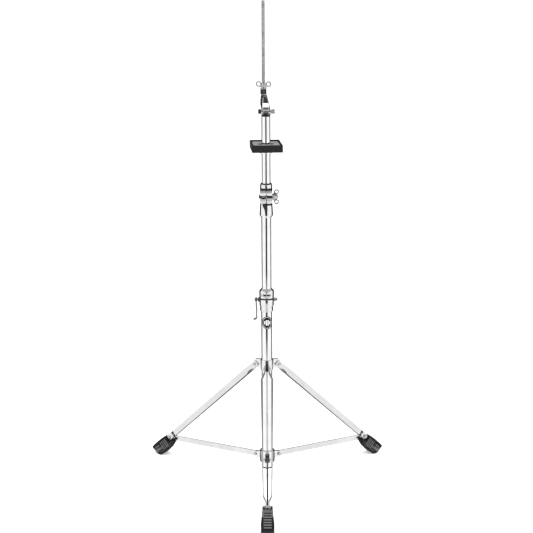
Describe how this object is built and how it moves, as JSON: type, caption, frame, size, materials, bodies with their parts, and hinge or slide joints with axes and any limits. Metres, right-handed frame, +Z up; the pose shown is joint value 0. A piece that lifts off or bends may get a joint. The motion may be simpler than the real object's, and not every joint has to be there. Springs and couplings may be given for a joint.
{
  "type": "percussion stand",
  "caption": "Folding double-braced tripod stand with telescoping tubes, a rubber support pad, and a tilter carrying a long threaded rod with a wing nut.",
  "frame": {"origin": "centre of the tripod's footprint on the floor; the tube axis stands at x=0, y=+0.0820 m", "axes": "+Z up along the tubes; the front leg points to -Y; +X is the side of the upper wing nuts"},
  "size_m": [0.6316, 0.547, 1.21],
  "materials": {
    "chrome": "bright plated tube and castings",
    "plated_steel": "zinc plated",
    "rubber": "matte moulded rubber",
    "nylon": "black nylon",
    "mat": "grey ribbed rubber mat",
    "badge": "gloss black enamel"
  },
  "bodies": {
    "base": {"base_tube": "chrome", "base_tube_plug": "nylon", "badge_plate": "badge", "lower_hub": "chrome", "hub_pivot_bolt_1": "plated_steel", "hub_pivot_bolt_2": "plated_steel", "hub_pivot_bolt_3": "plated_steel", "base_clamp": "chrome", "base_clamp_bush": "nylon", "base_clamp_bolt": "plated_steel", "base_clamp_nut": "chrome", "lever_cam_seat": "nylon"},
    "clamp_lever": {"clamp_lever": "chrome", "clamp_lever_pin": "plated_steel"},
    "mid_tube": {"mid_tube": "chrome", "memory_lock": "chrome", "memory_lock_bolt": "plated_steel", "upper_clamp": "chrome", "upper_clamp_bush": "nylon", "upper_clamp_bolt": "plated_steel"},
    "upper_clamp_wing": {"upper_clamp_wing_nut": "chrome"},
    "upper_tube": {"upper_tube": "chrome", "tilter_base": "chrome", "tilter_bolt": "plated_steel", "tilter_end_cap": "nylon"},
    "pad_collar": {"pad_collar": "chrome", "pad_collar_screw": "plated_steel"},
    "pad": {"pad_tray": "rubber", "pad_mat": "mat"},
    "tilter": {"tilter_yoke": "chrome", "tilter_block": "nylon", "threaded_rod": "plated_steel", "rod_lock_nut": "chrome"},
    "tilter_wing": {"tilter_wing_nut": "chrome"},
    "rod_washer": {"rod_washer": "plated_steel"},
    "rod_wing": {"rod_wing_nut": "chrome"},
    "leg_collar": {"leg_collar": "chrome"},
    "collar_screw": {"collar_lock_screw": "chrome"},
    "brace_1": {"brace_1": "chrome"},
    "leg_1": {"leg_1_left_strip": "chrome", "leg_1_right_strip": "chrome", "leg_1_foot": "rubber", "leg_1_foot_bolt": "plated_steel", "leg_1_left_rivet": "plated_steel", "leg_1_right_rivet": "plated_steel"},
    "brace_2": {"brace_2": "chrome"},
    "leg_2": {"leg_2_left_strip": "chrome", "leg_2_right_strip": "chrome", "leg_2_foot": "rubber", "leg_2_foot_bolt": "plated_steel", "leg_2_left_rivet": "plated_steel", "leg_2_right_rivet": "plated_steel"},
    "brace_3": {"brace_3": "chrome"},
    "leg_3": {"leg_3_left_strip": "chrome", "leg_3_right_strip": "chrome", "leg_3_foot": "rubber", "leg_3_foot_bolt": "plated_steel", "leg_3_left_rivet": "plated_steel", "leg_3_right_rivet": "plated_steel"}
  },
  "joints": [
    {"name": "leg_fold", "type": "slide", "parent": "base", "child": "leg_collar", "axis": [0, 0, -1], "range_m": [0, 0.14589]},
    {"name": "brace_1_turn", "type": "hinge", "parent": "base", "child": "brace_1", "pos_m": [0, 0.04935, 0.0577], "axis": [1, 0, 0], "range_deg": [-1, 85.5]},
    {"name": "leg_1_turn", "type": "hinge", "parent": "brace_1", "child": "leg_1", "pos_m": [0, -0.22215, 0.051], "axis": [1, 0, 0], "range_deg": [-41.23, 1]},
    {"name": "brace_2_turn", "type": "hinge", "parent": "base", "child": "brace_2", "pos_m": [0.02832, 0.0984, 0.0577], "axis": [-0.5, 0.866, 0], "range_deg": [-1, 85.5]},
    {"name": "leg_2_turn", "type": "hinge", "parent": "brace_2", "child": "leg_2", "pos_m": [0.26344, 0.23415, 0.051], "axis": [-0.5, 0.866, 0], "range_deg": [-41.23, 1]},
    {"name": "brace_3_turn", "type": "hinge", "parent": "base", "child": "brace_3", "pos_m": [-0.02832, 0.0984, 0.0577], "axis": [-0.5, -0.866, 0], "range_deg": [-1, 85.5]},
    {"name": "leg_3_turn", "type": "hinge", "parent": "brace_3", "child": "leg_3", "pos_m": [-0.26344, 0.23415, 0.051], "axis": [-0.5, -0.866, 0], "range_deg": [-41.23, 1]},
    {"name": "mid_tube_height", "type": "slide", "parent": "base", "child": "mid_tube", "axis": [0, 0, 1], "range_m": [0, 0.15]},
    {"name": "upper_tube_height", "type": "slide", "parent": "mid_tube", "child": "upper_tube", "axis": [0, 0, 1], "range_m": [-0.045, 0.12]},
    {"name": "pad_height", "type": "slide", "parent": "upper_tube", "child": "pad_collar", "axis": [0, 0, 1], "range_m": [-0.02, 0.03]},
    {"name": "pad_swivel", "type": "hinge", "parent": "pad_collar", "child": "pad", "pos_m": [0, 0.08205, 0.853], "axis": [0, 0, 1], "continuous": true},
    {"name": "tilt", "type": "hinge", "parent": "upper_tube", "child": "tilter", "pos_m": [0, 0.08205, 0.9463], "axis": [1, 0, 0], "range_deg": [-90, 90]},
    {"name": "tilter_wing_turn", "type": "hinge", "parent": "upper_tube", "child": "tilter_wing", "pos_m": [0.0129, 0.08205, 0.9463], "axis": [1, 0, 0], "range_deg": [0, 720]},
    {"name": "upper_clamp_wing_turn", "type": "hinge", "parent": "mid_tube", "child": "upper_clamp_wing", "pos_m": [0.015, 0.06345, 0.74], "axis": [1, 0, 0], "range_deg": [0, 720]},
    {"name": "collar_screw_turn", "type": "hinge", "parent": "leg_collar", "child": "collar_screw", "pos_m": [0, 0.10635, 0.306], "axis": [0, 1, 0], "range_deg": [0, 720]},
    {"name": "clamp_lever_swing", "type": "hinge", "parent": "base", "child": "clamp_lever", "pos_m": [-0.0265, 0.10355, 0.47], "axis": [0, 1, 0], "range_deg": [0, 150]},
    {"name": "rod_washer_lift", "type": "slide", "parent": "tilter", "child": "rod_washer", "axis": [0, 0, 1], "range_m": [0, 0.15]},
    {"name": "rod_wing_turn", "type": "hinge", "parent": "rod_washer", "child": "rod_wing", "pos_m": [-0.0056, 0.08205, 1.0027], "axis": [0, 0, 1], "range_deg": [-1, 43201]}
  ],
  "couplings": [
    {"joint": "rod_wing_turn", "follows": "rod_washer_lift", "rad_per_m": 5026.5},
    {"joint": "brace_1_turn", "follows": "leg_fold", "rad_per_m": 10.109},
    {"joint": "leg_1_turn", "follows": "leg_fold", "rad_per_m": -4.8132},
    {"joint": "brace_2_turn", "follows": "leg_fold", "rad_per_m": 10.109},
    {"joint": "leg_2_turn", "follows": "leg_fold", "rad_per_m": -4.8132},
    {"joint": "brace_3_turn", "follows": "leg_fold", "rad_per_m": 10.109},
    {"joint": "leg_3_turn", "follows": "leg_fold", "rad_per_m": -4.8132}
  ]
}
